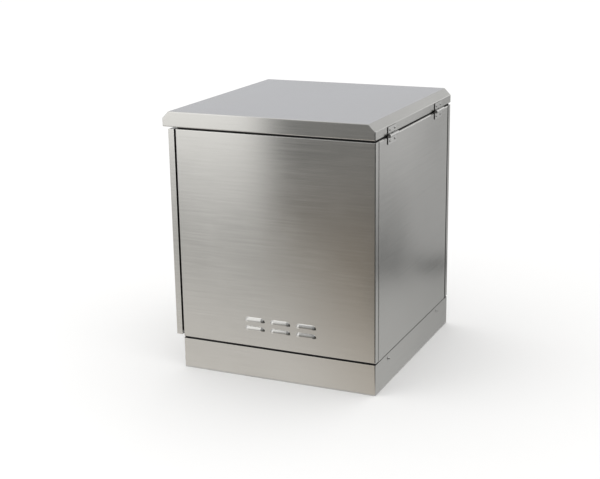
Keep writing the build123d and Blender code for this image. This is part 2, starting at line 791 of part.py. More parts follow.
def node_solids():
    hinge_grip = hinge_sheet + sheet + hinge_screw_grip
    hinge_screw = screw(hinge_screw_head_r, hinge_screw_head, hinge_screw_r, hinge_grip)
    plinth_screw = screw(plinth_screw_head_r, plinth_screw_head, plinth_screw_r, plinth_screw_grip)
    small_screw = screw(small_screw_head_r, small_screw_head, small_screw_r, small_screw_grip)
    earth_screw = screw(small_screw_head_r, small_screw_head, small_screw_r, earth_sheet + small_screw_grip)
    nodes = {
        "plinth": plinth(),
        "plinth_screws": group(plinth_screw_places(), plinth_screw),
        "floor_tray": floor_tray(),
        "gland_plate": gland_plate(),
        "cable_grommets": group(grommet_places(), cable_grommet()),
        "side_panel_near": side_panel(NEAR_FACE, NEAR),
        "side_panel_far": side_panel(FAR_FACE, FAR),
        "rear_panel": rear_panel(),
        "panel_rivets": group(rivet_places(), rivet()),
        "door_head": door_head(),
        "door_sill": door_rail(plinth_height + sill_rise, sill_rise),
        "door_seal": door_seal(),
        "lid_seal": lid_seal(),
        "lid_hinge_fixed_screws": group(lid_hinge_screw_places("fixed"), hinge_screw),
        "lid_hinge_moving_screws": group(lid_hinge_screw_places("moving"), hinge_screw),
        "door_hinge_fixed_screws": group(door_hinge_screw_places("fixed"), hinge_screw),
        "door_hinge_moving_screws": group(door_hinge_screw_places("moving"), hinge_screw),
        "lid": lid(),
        "lid_keepers": Compound(children=[lid_keeper(side) for side in SIDES.values()]),
        "door": door(),
        "lock_nuts": group([lock_place(level) for level in LEVELS.values()], lock_nut_ring()),
        "mounting_plate": mounting_plate(),
        "plate_spacers": group(plate_bolt_places(), plate_spacer()),
        "plate_bolts": group(plate_bolt_places(), plate_bolt()),
        "earth_bar": earth_bar(),
        "earth_bar_posts": group(earth_post_places(), earth_post()),
        "earth_bar_screws": group(earth_screw_places(), earth_screw),
    }
    guide_places = guide_screw_places(NEAR) + guide_screw_places(FAR)
    small_places = gland_screw_places() + din_screw_places() + guide_places
    nodes["small_screws"] = group(small_places, small_screw)
    post_holes = shank_holes(door_hinge_screw_places("fixed"), hinge_screw_r)
    for name, side in SIDES.items():
        nodes[f"base_seal_{name}"] = base_seal(side)
        nodes[f"corner_post_front_{name}"] = corner_post(-1, side, post_holes)
        nodes[f"corner_post_rear_{name}"] = corner_post(1, side, rivet_holes())
        nodes[f"lid_bolt_guide_{name}"] = lid_bolt_guide(side)
        nodes[f"lid_bolt_{name}"] = bolt_place(side) * lid_bolt()
        place = lid_hinge_place(side)
        nodes[f"lid_hinge_fixed_leaf_{name}"] = place * hinge_leaf(
            hinge_leaf_width, hinge_screw_offset, HINGE_SIDE["fixed"], FIXED_KNUCKLES)
        nodes[f"lid_hinge_moving_leaf_{name}"] = place * hinge_leaf(
            hinge_leaf_width, hinge_screw_offset, HINGE_SIDE["moving"], MOVING_KNUCKLES)
        nodes[f"lid_hinge_pin_{name}"] = place * hinge_pin()
    for name, level in LEVELS.items():
        nodes[f"din_rail_{name}"] = din_rail(level)
        nodes[f"lock_housing_{name}"] = lock_place(level) * lock_housing()
        nodes[f"lock_rotor_{name}"] = lock_place(level) * lock_rotor()
        nodes[f"lock_cam_{name}"] = lock_place(level) * lock_cam()
        nodes[f"cam_screw_{name}"] = lock_place(level) * cam_screw()
        place = door_hinge_place(level)
        nodes[f"door_hinge_fixed_leaf_{name}"] = place * hinge_leaf(
            hinge_leaf_width, hinge_screw_offset, HINGE_SIDE["fixed"], FIXED_KNUCKLES)
        nodes[f"door_hinge_moving_leaf_{name}"] = place * hinge_leaf(
            hinge_door_leaf_width, hinge_door_screw_offset, HINGE_SIDE["moving"], MOVING_KNUCKLES)
        nodes[f"door_hinge_pin_{name}"] = place * hinge_pin()
    return nodes


os.makedirs("parts", exist_ok=True)
for node, solid in node_solids().items():
    export_step(solid, f"parts/{node}.step")
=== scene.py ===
"""Looks of the roadside utility cabinet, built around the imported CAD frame. Lengths are in metres."""
import json
import math

import bmesh
import bpy
from mathutils import Matrix, Vector


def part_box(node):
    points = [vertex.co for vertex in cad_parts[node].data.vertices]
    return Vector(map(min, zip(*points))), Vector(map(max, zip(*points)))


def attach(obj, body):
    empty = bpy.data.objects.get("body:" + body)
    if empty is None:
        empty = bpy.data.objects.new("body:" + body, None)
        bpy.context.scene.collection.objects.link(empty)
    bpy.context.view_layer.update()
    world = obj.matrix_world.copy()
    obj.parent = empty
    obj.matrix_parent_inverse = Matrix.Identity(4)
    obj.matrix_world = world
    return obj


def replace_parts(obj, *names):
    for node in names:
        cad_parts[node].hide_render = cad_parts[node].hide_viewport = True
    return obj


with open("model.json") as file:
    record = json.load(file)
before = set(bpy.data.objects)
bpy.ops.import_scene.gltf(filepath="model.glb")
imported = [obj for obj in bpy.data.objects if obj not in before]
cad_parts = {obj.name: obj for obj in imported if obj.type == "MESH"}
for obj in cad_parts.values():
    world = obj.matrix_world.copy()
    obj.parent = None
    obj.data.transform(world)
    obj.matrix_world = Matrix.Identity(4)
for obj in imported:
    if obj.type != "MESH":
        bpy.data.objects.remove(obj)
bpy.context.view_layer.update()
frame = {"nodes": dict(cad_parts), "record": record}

NODES = frame["nodes"]
BODIES = frame["record"]["behaviour"]["bodies"]
BODY_OF = {node: body for body, nodes in BODIES.items() for node in nodes}
SLOT_OF = {row["node"]: row["material_slot"] for row in frame["record"]["subparts"]}

X_AXIS = 0
Y_AXIS = 1
Z_AXIS = 2
LOW = 0
HIGH = 1
TO_REAR = Vector((1.0, 0.0, 0.0))
TO_FAR_SIDE = Vector((0.0, 1.0, 0.0))
UP = Vector((0.0, 0.0, 1.0))
WHITE = (1.0, 1.0, 1.0)

# Camera
CAMERA_PLACE = Vector((1.3976, -3.2421, 1.3345))
CAMERA_FORWARD = Vector((-0.3964, 0.8768, -0.2723))
CAMERA_ROLL = math.radians(-0.889)
CAMERA_LENS = 72.8
CAMERA_SENSOR = 36.0

# Floor, world and softbox
FLOOR_SIDE = 30.0
FLOOR_COLOUR = (0.970, 0.967, 0.960)
FLOOR_ROUGHNESS = 0.9
SPECK_NOISE = (400.0, 2.0, 0.5)
SPECK_SHADES = (0.99, 1.0)
WORLD_FILL = 1.08
SOFTBOX_PLACE = Vector((-1.37, -1.75, 0.95))
SOFTBOX_AIM = Vector((-0.1, 0.0, 0.45))
SOFTBOX_WIDTH = 1.1
SOFTBOX_HEIGHT = 1.4
SOFTBOX_RADIANCE = 0.8
CARD_RISE = 0.001

# Painted reflection of what the front face reflects low down: the floor on its left and right, near the
# cabinet and further out, with painted shade
FRONT_NEAR = -0.33
FRONT_FAR = -1.62
FRONT_HALF = 2.2
SHADE_SLOPE = 0.62
SHADE_PIVOT = -1.4
SHADE_LEFT = -0.66
SHADE_RIGHT = -0.19
LEFT_NEAR = (1.00, 0.965, 0.905)
LEFT_FAR = (0.66, 0.655, 0.625)
RIGHT_NEAR = (0.77, 0.705, 0.615)
RIGHT_FAR = (0.335, 0.285, 0.225)
# Past the corner the painted floor turns near black: painted shade
CORNER_SLOPE = 0.4515
CORNER_START = 0.33
CORNER_END = 0.42
CORNER_PAINTED_SHADE = (0.09, 0.088, 0.082)

# Painted reflection of what it reflects higher up: a glowing screen, brighter than white on its left as
# painted light and dark on its right as painted shade
FRONT_SCREEN_Y = -1.60
FRONT_SCREEN_LEFT = -1.8
FRONT_SCREEN_RIGHT = 0.95
FRONT_SCREEN_HEIGHT = 3.2
FADE_START = -0.735
FADE_END = -0.54
FADE_LEAN = 0.36
FADE_LEAN_FROM = 1.1
BRIGHT_Z = (0.10, 0.50)
BRIGHT_LOW = (0.57, 0.565, 0.545)
BRIGHT_HIGH = (1.66, 1.65, 1.61)
DARK_Z = (0.0, 0.35)
DARK_LOW = (0.375, 0.325, 0.265)
DARK_HIGH = (0.225, 0.227, 0.225)
DARK_LID_Z = (0.41, 0.47)
DARK_LID = (0.29, 0.295, 0.285)
DARK_RIGHT_X = (-0.20, 0.10)
DARK_RIGHT = (0.14, 0.14, 0.138)
DARK_HIGHEST_Z = (0.6, 1.0)
DARK_HIGHEST = (0.56, 0.56, 0.555)

# Painted reflections: dark glowing flags beyond the cabinet's right corner as painted shade, and light cards
# behind and above
CORNER_FLAG_END = (1.75, -0.35)
CORNER_FLAG_HEIGHT = 1.6
CORNER_FLAG = (0.06, 0.06, 0.055)
SIDE_FLAG_END = (1.75, 0.45)
SIDE_FLAG_HEIGHT = 0.8
SIDE_FLAG = (0.30, 0.30, 0.295)
BACK_CARD_X = (-3.4, 0.6)
BACK_CARD_Y = 3.0
BACK_CARD_FOOT = 0.75
BACK_CARD_HEIGHT = 2.2
BACK_CARD = (0.81, 0.82, 0.86)
# The card above is brighter than white: a painted highlight on upward bends
TOP_CARD_X = (-1.8, -0.95)
TOP_CARD_Y = (-1.6, -0.3)
TOP_CARD_Z = 3.2
TOP_CARD_PAINTED_HIGHLIGHT = (1.8, 1.8, 1.8)

# Painted reflection of what the door reflects: a floor that darkens towards the far side with painted shade
DOOR_FLOOR_X = (-2.9, -0.8)
DOOR_FLOOR_Y = (-0.15, 1.6)
DOOR_SHADE_Y = (-0.15, 0.65)
DOOR_SHADES = (1.0, 0.36)

# Painted reflections of what the rear wall reflects: the floor beside it, and a grey screen whose foot runs
# through two points, with painted shade and a painted highlight strip
SCREEN_NEAR = Vector((0.632, 0.688))
SCREEN_FAR = Vector((0.473, 0.888))
SCREEN_WAY = (SCREEN_FAR - SCREEN_NEAR).normalized()
SCREEN_LENGTH = (SCREEN_FAR - SCREEN_NEAR).length
SCREEN_BEFORE = 0.45
SCREEN_SOLID = 0.1
SCREEN_BEYOND = 0.85
SCREEN_HEIGHT = 2.0
SCREEN_BLUE_SHARE = 0.985
SCREEN_LOW_SHARES = (0.1, 0.5)
SCREEN_LOW_TONES = (0.20, 0.52)
SCREEN_TOP_SHARES = (0.2, 0.7)
SCREEN_TOP_TONES = (0.71, 0.55)
SCREEN_TOP_Z = 0.52
SCREEN_FOOT_SHARES = (0.3, 0.55)
SCREEN_FOOT_Z = (0.065, 0.03)
SCREEN_FOOT_TONE = 0.12
# A bright strip high up: a painted highlight on the lid's fold
SCREEN_HIGHLIGHT_Z = (0.72, 0.78)
SCREEN_HIGHLIGHT_TONE = 1.5
SCREEN_SKY_Z = (0.84, 0.92)
SCREEN_SKY_TONE = 0.80
SIDE_FLOOR_X = (0.303, 1.75)
SIDE_FLOOR_Y = (FRONT_NEAR, 1.3)
SIDE_FLOOR_BLUE_SHARE = 0.975
SIDE_FLOOR_PIVOT = 0.30
SIDE_FLOOR_SLOPE = 2.8
SIDE_FLOOR_ACROSS = (-0.25, 0.30)
SIDE_FLOOR_TONES = (0.64, 0.50)
SIDE_FLOOR_OUTER_X = (0.68, 0.95)
SIDE_FLOOR_OUTER_TONE = 0.40

# Inputs of a mix node by index, the share first, and its output for colours
MIX_NUMBERS = (0, 2, 3)
MIX_COLOURS = (0, 6, 7)
MIX_COLOUR_OUT = 2

# A noise is given as its scale, detail and roughness, and stays mostly in this range
NOISE_RANGE = (0.3, 0.7)

# Brushed steel
STEEL_COLOUR = (0.487, 0.483, 0.472)
HARDWARE_COLOUR = (0.560, 0.557, 0.550)
INSERT_COLOUR = (0.190, 0.190, 0.195)
SHEET_FINISH = {"roughness": 0.22, "anisotropy": 0.85, "wave": 0.0012, "edge": 0.0025}
HARDWARE_FINISH = {"roughness": 0.25, "anisotropy": 0.4, "wave": 0.0, "edge": 0.0008}
INSERT_FINISH = {"roughness": 0.36, "anisotropy": 0.2, "wave": 0.0, "edge": 0.0006}
UPRIGHT = (0.0, 0.05, 1.0)
LEVEL_FACING = (0.6, 0.8)
BRUSH_LENGTH = 0.17
BRUSH_FINE = 0.0011
BRUSH_COARSE = 0.0045
BRUSH_NOISE = (1.0, 3.0, 0.6)
BRUSH_DEPTH = 0.00002
FINE_SHARE = 0.5
BRUSH_SHADE = 0.040
BRUSH_ROUGHNESS = 0.024
SMEAR_NOISE = (3.5, 4.0, 0.55)
SMEAR_SHADE = 0.025
SMEAR_ROUGHNESS = 0.02
WAVE_NOISE = (2.6, 0.0, 0.5)
# Along bends and edges wear lowers the roughness, and a painted highlight brightens the colour
WEAR_AND_HIGHLIGHT_SAMPLES = 4
WEAR_AND_HIGHLIGHT_TURN = (0.995, 0.90)
WEAR_ROUGHNESS = 0.04
EDGE_PAINTED_HIGHLIGHT = 1.45
# Painted shade: a plate's cut edges are darkened to stand for the shadow line round it
CUT_FACING = (0.2, 0.6)
CUT_PAINTED_SHADE = 0.22

# Galvanised zinc
ZINC_COLOUR = (0.520, 0.535, 0.550)
SPANGLE_SCALE = 130.0
SPANGLE_SHADES = (0.88, 1.10)
SPANGLE_ROUGHNESSES = (0.36, 0.50)
BLOOM_NOISE = (22.0, 4.0, 0.6)
BLOOM_SHADES = (0.92, 1.06)
BLOOM_ROUGHNESSES = (-0.04, 0.06)
ZINC_GRAIN = (900.0, 2.0, 0.5)
ZINC_GRAIN_DEPTH = 0.00004

# Rubber
RUBBER_COLOUR = (0.007, 0.007, 0.0075)
RUBBER_SPECULAR = 0.2
DUST_NOISE = (60.0, 5.0, 0.65)
DUST_RANGE = (0.35, 0.75)
DUST_SHADES = (0.8, 1.7)
DUST_ROUGHNESSES = (0.62, 0.85)
RUBBER_GRAIN = (1600.0, 3.0, 0.5)
RUBBER_GRAIN_DEPTH = 0.00006

# Copper
COPPER_COLOUR = (0.720, 0.400, 0.240)
DRAWN_STRETCH = (700.0, 6.0, 700.0)
DRAWN_NOISE = (1.0, 3.0, 0.6)
DRAWN_SHADES = (0.92, 1.06)
DRAWN_DEPTH = 0.00003
TARNISH_NOISE = (45.0, 5.0, 0.6)
TARNISH_RANGE = (0.35, 0.7)
TARNISH_SHADES = (0.78, 1.05)
TARNISH_ROUGHNESSES = (0.42, 0.24)

# Insulator resin
RESIN_COLOUR = (0.310, 0.062, 0.036)
RESIN_COAT = 0.15
MOTTLE_NOISE = (180.0, 4.0, 0.6)
MOTTLE_SHADES = (0.85, 1.15)
MOTTLE_ROUGHNESSES = (0.38, 0.52)
RESIN_GRAIN = (1400.0, 2.0, 0.5)
RESIN_GRAIN_DEPTH = 0.00004

# Sealant in the rear seams: a black bead that also paints the shade of the seams
BEAD_GAP = 0.0001
BEAD_SKIRT = 0.0004
BEAD_CROWN = 0.0003
BEAD_SIDES = 6

# Screw heads
SMOOTH_ANGLE = math.radians(30)
HEAD_SIDES = 24
HEAD_ANGLES = [2 * math.pi * i / HEAD_SIDES for i in range(HEAD_SIDES)]
DOME_ANGLES = [math.radians(a) for a in (14, 28, 42, 54)]
SOCKET_SHARE = 0.42
SOCKET_DEPTH_SHARE = 0.6
WELD = 1e-5
LEVEL_DIGITS = 5
ORDER_DIGITS = 4


def opaque(colour):
    return (*colour, 1.0)


class Shader:
    """A node tree under construction: each call adds a node and wires its inputs."""

    def __init__(self, tree):
        self.tree = tree
        self.tree.nodes.clear()

    def node(self, kind, inputs=None, **settings):
        node = self.tree.nodes.new(kind)
        for name, value in settings.items():
            setattr(node, name, value)
        for name, value in (inputs or {}).items():
            self.put(node.inputs[name], value)
        return node

    def put(self, socket, value):
        if isinstance(value, bpy.types.NodeSocket):
            self.tree.links.new(value, socket)
        else:
            socket.default_value = value

    def math(self, operation, a, b=0.0):
        return self.node("ShaderNodeMath", {0: a, 1: b}, operation=operation).outputs[0]

    def vector(self, operation, a, b):
        return self.node("ShaderNodeVectorMath", {0: a, 1: b}, operation=operation).outputs[0]

    def line(self, value, low, high, to_low=0.0, to_high=1.0, kind="LINEAR"):
        """Carries the range from low to high over to another, in a straight line."""
        inputs = {"Value": value, "From Min": low, "From Max": high, "To Min": to_low, "To Max": to_high}
        return self.node("ShaderNodeMapRange", inputs, interpolation_type=kind).outputs[0]

    def ramp(self, value, low, high, to_low=0.0, to_high=1.0):
        """Carries the range from low to high over to another, with soft ends."""
        return self.line(value, low, high, to_low, to_high, "SMOOTHSTEP")

    def vary(self, noise, to_low, to_high):
        """Spreads the usual range of a noise over another."""
        return self.ramp(noise, *NOISE_RANGE, to_low, to_high)

    def mix(self, share, a, b):
        node = self.node("ShaderNodeMix", data_type="FLOAT")
        for index, value in zip(MIX_NUMBERS, (share, a, b)):
            self.put(node.inputs[index], value)
        return node.outputs[0]

    def colour_mix(self, share, a, b, blend="MIX"):
        node = self.node("ShaderNodeMix", data_type="RGBA", blend_type=blend)
        for index, value in zip(MIX_COLOURS, (share, a, b)):
            self.put(node.inputs[index], value)
        return node.outputs[MIX_COLOUR_OUT]

    def noise(self, vector, scale, detail, roughness):
        inputs = {"Vector": vector, "Scale": scale, "Detail": detail, "Roughness": roughness}
        return self.node("ShaderNodeTexNoise", inputs).outputs["Fac"]

    def place(self):
        return self.node("ShaderNodeTexCoord").outputs["Object"]

    def split(self, vector):
        return self.node("ShaderNodeSeparateXYZ", {0: vector}).outputs

    def object_normal(self):
        normal = self.node("ShaderNodeNewGeometry").outputs["Normal"]
        turn = self.node("ShaderNodeVectorTransform", {"Vector": normal}, vector_type="NORMAL",
                         convert_from="WORLD", convert_to="OBJECT")
        return turn.outputs[0]

    def bump(self, height, distance, normal=None):
        inputs = {"Height": height, "Distance": distance, "Strength": 1.0}
        if normal is not None:
            inputs["Normal"] = normal
        return self.node("ShaderNodeBump", inputs).outputs[0]

    def colour(self, red, green, blue):
        return self.node("ShaderNodeCombineColor", {0: red, 1: green, 2: blue}).outputs[0]

    def grey(self, tone):
        return self.colour(tone, tone, tone)

    def warm_grey(self, tone, blue_share):
        return self.colour(tone, tone, self.math("MULTIPLY", tone, blue_share))

    def tint(self, colour, factor):
        """The colour times a grey factor."""
        return self.colour_mix(1.0, opaque(colour), self.grey(factor), "MULTIPLY")

    def surface(self, **inputs):
        shader = self.node("ShaderNodeBsdfPrincipled")
        for name, value in inputs.items():
            self.put(shader.inputs[name.replace("_", " ")], value)
        self.end(shader.outputs[0], "ShaderNodeOutputMaterial")

    def end(self, shader, kind):
        """Wires a finished shader to the tree's output."""
        self.tree.links.new(shader, self.node(kind).inputs[0])


def new_material(name, colour):
    material = bpy.data.materials.new(name)
    material.use_nodes = True
    material.diffuse_color = opaque(colour)
    return material, Shader(material.node_tree)


# Materials


def brush_marks(s, place, level, width):
    """Long thin marks along the sheet's horizontal direction, on walls and on level sheets alike."""
    long = 1.0 / BRUSH_LENGTH
    thin = 1.0 / width
    on_walls = s.noise(s.vector("MULTIPLY", place, (long, long, thin)), *BRUSH_NOISE)
    on_level = s.noise(s.vector("MULTIPLY", place, (long, thin, thin)), *BRUSH_NOISE)
    return s.mix(level, on_walls, on_level)


def edge_wear_and_highlight(s, radius):
    """1 along bends and cut edges, 0 on flat sheet: the mask of the wear and of a painted highlight."""
    rounded = s.node("ShaderNodeBevel", {"Radius": radius}, samples=WEAR_AND_HIGHLIGHT_SAMPLES).outputs[0]
    straight = s.node("ShaderNodeNewGeometry").outputs["Normal"]
    turn = s.node("ShaderNodeVectorMath", {0: rounded, 1: straight}, operation="DOT_PRODUCT")
    return s.ramp(turn.outputs["Value"], *WEAR_AND_HIGHLIGHT_TURN)


def brushed_steel(name, colour, roughness, anisotropy, wave, edge, plate=None):
    """Steel with fine horizontal brushing, faint handling smears, a slight waviness and bright edges, whose
    brightness is a painted highlight that is partly polished wear.

    A plate's cut edges, whose normals turn away from the axis with that index, are dark with painted shade
    instead.
    """
    material, s = new_material(name, colour)
    place = s.place()
    axes = s.split(s.object_normal())
    level = s.ramp(s.math("ABSOLUTE", axes[Z_AXIS]), *LEVEL_FACING)
    fine = brush_marks(s, place, level, BRUSH_FINE)
    coarse = brush_marks(s, place, level, BRUSH_COARSE)
    marks = s.math("ADD", s.math("MULTIPLY", fine, FINE_SHARE), s.math("MULTIPLY", coarse, 1 - FINE_SHARE))
    smear = s.noise(place, *SMEAR_NOISE)
    wear_and_highlight = edge_wear_and_highlight(s, edge)
    rough = s.math("ADD", s.vary(marks, roughness - BRUSH_ROUGHNESS, roughness + BRUSH_ROUGHNESS),
                   s.vary(smear, -SMEAR_ROUGHNESS, SMEAR_ROUGHNESS))
    rough = s.math("SUBTRACT", rough, s.math("MULTIPLY", wear_and_highlight, WEAR_ROUGHNESS))
    factor = s.math("MULTIPLY", s.vary(marks, 1 - BRUSH_SHADE, 1 + BRUSH_SHADE),
                    s.vary(smear, 1 - SMEAR_SHADE, 1 + SMEAR_SHADE))
    if plate is None:
        # Painted highlight along bends and edges, partly polished wear
        edges = s.line(wear_and_highlight, 0.0, 1.0, 1.0, EDGE_PAINTED_HIGHLIGHT)
    else:
        # Painted shade on a plate's cut edges
        edges = s.ramp(s.math("ABSOLUTE", axes[plate]), *CUT_FACING, CUT_PAINTED_SHADE, 1.0)
    factor = s.math("MULTIPLY", factor, edges)
    wavy = s.bump(s.noise(place, *WAVE_NOISE), wave)
    brushed = s.bump(fine, BRUSH_DEPTH, wavy)
    tangent = s.node("ShaderNodeVectorTransform", {"Vector": UPRIGHT}, vector_type="VECTOR",
                     convert_from="OBJECT", convert_to="WORLD").outputs[0]
    s.surface(Base_Color=s.tint(colour, factor), Metallic=1.0, Roughness=rough, Anisotropic=anisotropy,
              Tangent=tangent, Normal=brushed)
    return material


def galvanised():
    """Zinc with soft spangles and a dull bloom."""
    material, s = new_material("galvanised_steel", ZINC_COLOUR)
    place = s.place()
    cells = s.node("ShaderNodeTexVoronoi", {"Vector": place, "Scale": SPANGLE_SCALE, "Randomness": 1.0})
    spangle = s.split(cells.outputs["Color"])[X_AXIS]
    bloom = s.noise(place, *BLOOM_NOISE)
    factor = s.math("MULTIPLY", s.ramp(spangle, 0.0, 1.0, *SPANGLE_SHADES), s.vary(bloom, *BLOOM_SHADES))
    rough = s.math("ADD", s.ramp(spangle, 0.0, 1.0, *SPANGLE_ROUGHNESSES), s.vary(bloom, *BLOOM_ROUGHNESSES))
    grain = s.bump(s.noise(place, *ZINC_GRAIN), ZINC_GRAIN_DEPTH)
    s.surface(Base_Color=s.tint(ZINC_COLOUR, factor), Metallic=1.0, Roughness=rough, Normal=grain)
    return material


def rubber():
    """Matt black sealing rubber with a dusty bloom."""
    material, s = new_material("black_rubber", RUBBER_COLOUR)
    place = s.place()
    dust = s.noise(place, *DUST_NOISE)
    grain = s.bump(s.noise(place, *RUBBER_GRAIN), RUBBER_GRAIN_DEPTH)
    s.surface(Base_Color=s.tint(RUBBER_COLOUR, s.ramp(dust, *DUST_RANGE, *DUST_SHADES)),
              Roughness=s.vary(dust, *DUST_ROUGHNESSES), Specular_IOR_Level=RUBBER_SPECULAR, Normal=grain)
    return material


def copper():
    """Drawn copper bar with faint tarnish."""
    material, s = new_material("copper_bar", COPPER_COLOUR)
    place = s.place()
    drawn = s.noise(s.vector("MULTIPLY", place, DRAWN_STRETCH), *DRAWN_NOISE)
    tarnish = s.noise(place, *TARNISH_NOISE)
    stain = s.ramp(tarnish, *TARNISH_RANGE, *TARNISH_SHADES)
    factor = s.math("MULTIPLY", s.vary(drawn, *DRAWN_SHADES), stain)
    s.surface(Base_Color=s.tint(COPPER_COLOUR, factor), Metallic=1.0,
              Roughness=s.vary(tarnish, *TARNISH_ROUGHNESSES), Normal=s.bump(drawn, DRAWN_DEPTH))
    return material


def resin():
    """Moulded red-brown insulator resin."""
    material, s = new_material("insulator", RESIN_COLOUR)
    place = s.place()
    mottle = s.noise(place, *MOTTLE_NOISE)
    grain = s.bump(s.noise(place, *RESIN_GRAIN), RESIN_GRAIN_DEPTH)
    s.surface(Base_Color=s.tint(RESIN_COLOUR, s.vary(mottle, *MOTTLE_SHADES)),
              Roughness=s.vary(mottle, *MOTTLE_ROUGHNESSES), Coat_Weight=RESIN_COAT, Normal=grain)
    return material


MATERIALS = {
    "stainless_sheet": brushed_steel("stainless_sheet", STEEL_COLOUR, **SHEET_FINISH),
    "stainless_hardware": brushed_steel("stainless_hardware", HARDWARE_COLOUR, **HARDWARE_FINISH),
    # Hinge leaves and lock housings get painted shade on their cut edges
    "lid_hinge_leaf": brushed_steel("lid_hinge_leaf", HARDWARE_COLOUR, **HARDWARE_FINISH, plate=X_AXIS),
    "door_hinge_leaf": brushed_steel("door_hinge_leaf", HARDWARE_COLOUR, **HARDWARE_FINISH, plate=Y_AXIS),
    "lock_housing": brushed_steel("lock_housing", HARDWARE_COLOUR, **HARDWARE_FINISH, plate=X_AXIS),
    "lock_insert": brushed_steel("lock_insert", INSERT_COLOUR, **INSERT_FINISH),
    "galvanised_steel": galvanised(),
    "black_rubber": rubber(),
    "copper_bar": copper(),
    "insulator": resin(),
}


def dress(obj, material):
    obj.data.materials.clear()
    obj.data.materials.append(MATERIALS[material])


def look_of(node):
    """The material of a CAD node: its slot's, or one of its own on hinge leaves and locks."""
    if "_leaf_" in node:
        return "lid_hinge_leaf" if node.startswith("lid") else "door_hinge_leaf"
    if node.startswith("lock_housing"):
        return "lock_housing"
    if node.startswith("lock_rotor"):
        return "lock_insert"
    return SLOT_OF[node]


for node_name, node_object in NODES.items():
    dress(node_object, look_of(node_name))


def add_piece(name, mesh, slot, body):
    """Makes a smooth-shaded object of a bmesh, dressed and riding on a body."""
    data = bpy.data.meshes.new(name)
    mesh.normal_update()
    mesh.to_mesh(data)
    mesh.free()
    data.polygons.foreach_set("use_smooth", [True] * len(data.polygons))
    data.set_sharp_from_angle(angle=SMOOTH_ANGLE)
    piece = bpy.data.objects.new(name, data)
    bpy.context.scene.collection.objects.link(piece)
    dress(piece, slot)
    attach(piece, body)
    return piece


# Seams


def sealant_and_shade_bead(side):
    """Black sealant in the seam between a side panel's fold and the rear panel; its black is also painted
    shade in the seam.
    """
    panel, rear, post = (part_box(n) for n in (f"side_panel_{side}", "rear_panel", f"corner_post_rear_{side}"))
    before, after = (panel, rear) if side == "near" else (rear, panel)
    start = before[HIGH][Y_AXIS] + BEAD_GAP
    end = after[LOW][Y_AXIS] - BEAD_GAP
    bed = post[HIGH][X_AXIS]
    brim = bed + BEAD_SKIRT
    outline = [(brim, start), (bed, start), (bed, end), (brim, end)]
    for i in range(1, BEAD_SIDES):
        share = i / BEAD_SIDES
        outline.append((brim + BEAD_CROWN * math.sin(math.pi * share), end + (start - end) * share))
    mesh = bmesh.new()
    foot, top = ([mesh.verts.new((x, y, post[k][Z_AXIS])) for x, y in outline] for k in (LOW, HIGH))
    count = len(outline)
    for i in range(count):
        j = (i + 1) % count
        mesh.faces.new((foot[i], foot[j], top[j], top[i]))
    mesh.faces.new(foot)
    mesh.faces.new(top)
    bmesh.ops.recalc_face_normals(mesh, faces=mesh.faces)
    add_piece(f"rear_seam_sealant_and_shade_bead_{side}", mesh, "black_rubber", "cabinet_body")


for seam_side in ("near", "far"):
    sealant_and_shade_bead(seam_side)


# Screws


def points_middle(points):
    low = Vector(min(p[i] for p in points) for i in range(3))
    high = Vector(max(p[i] for p in points) for i in range(3))
    return (low + high) / 2


def solids_of(node):
    """The corner points of each separate solid in a CAD node."""
    mesh = bmesh.new()
    mesh.from_mesh(NODES[node].data)
    bmesh.ops.remove_doubles(mesh, verts=mesh.verts, dist=WELD)
    left = set(mesh.verts)
    solids = []
    while left:
        front = [left.pop()]
        points = []
        while front:
            vert = front.pop()
            points.append(vert.co.copy())
            near = {e.other_vert(vert) for e in vert.link_edges} & left
            left -= near
            front.extend(near)
        solids.append(points)
    mesh.free()
    return sorted(solids, key=lambda points: tuple(round(c, ORDER_DIGITS) for c in points_middle(points)))


def circle(radius):
    """How far each corner of a ring is from its middle."""
    return [radius] * HEAD_SIDES


def hexagon(flats):
    """How far each corner of a ring is from its middle, where the ring follows a hexagon."""
    sixth = math.pi / 3
    return [flats / math.cos(angle % sixth - sixth / 2) for angle in HEAD_ANGLES]


def button_head(mesh, place, radius, height, shank, grip):
    """Adds a domed screw head with a hexagon socket, whose seat is at z = 0 of the place."""
    rings = [(circle(shank), -grip), (circle(shank), 0.0), (circle(radius), 0.0)]
    crown = math.sin(DOME_ANGLES[-1])
    rings += [(circle(radius * math.cos(angle)), height * math.sin(angle) / crown) for angle in DOME_ANGLES]
    socket = hexagon(radius * SOCKET_SHARE)
    rings += [(socket, height), (socket, height * (1 - SOCKET_DEPTH_SHARE))]
    loops = []
    for reaches, z in rings:
        corners = [(r * math.cos(angle), r * math.sin(angle), z) for r, angle in zip(reaches, HEAD_ANGLES)]
        loops.append([mesh.verts.new(place @ Vector(corner)) for corner in corners])
    for low, high in zip(loops, loops[1:]):
        for i in range(HEAD_SIDES):
            j = (i + 1) % HEAD_SIDES
            mesh.faces.new((low[i], low[j], high[j], high[i]))
    mesh.faces.new(loops[0][::-1])
    mesh.faces.new(loops[-1])


def reach_at(points, axis, out, level):
    """How far the points at a level along the way out reach from the axis."""
    return max((p - axis - out * p.dot(out)).length for p in points if abs(p.dot(out) - level) < WELD)


def button_screws(node, outward):
    """Domed socket screws in place of a CAD node's plain ones; outward gives the way that a screw faces."""
    mesh = bmesh.new()
    for points in solids_of(node):
        middle = points_middle(points)
        out = outward(middle)
        axis = middle - out * middle.dot(out)
        levels = [p.dot(out) for p in points]
        reaches = {round(level, LEVEL_DIGITS): reach_at(points, axis, out, level) for level in levels}
        radius = max(reaches.values())
        seat = min(level for level, reach in reaches.items() if reach > radius - WELD)
        shank = reaches[min(reaches)]
        place = Matrix.Translation(axis + out * seat) @ out.to_track_quat("Z", "X").to_matrix().to_4x4()
        button_head(mesh, place, radius, max(levels) - seat, shank, seat - min(levels))
    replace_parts(add_piece(f"{node}_domed", mesh, SLOT_OF[node], BODY_OF[node]), node)


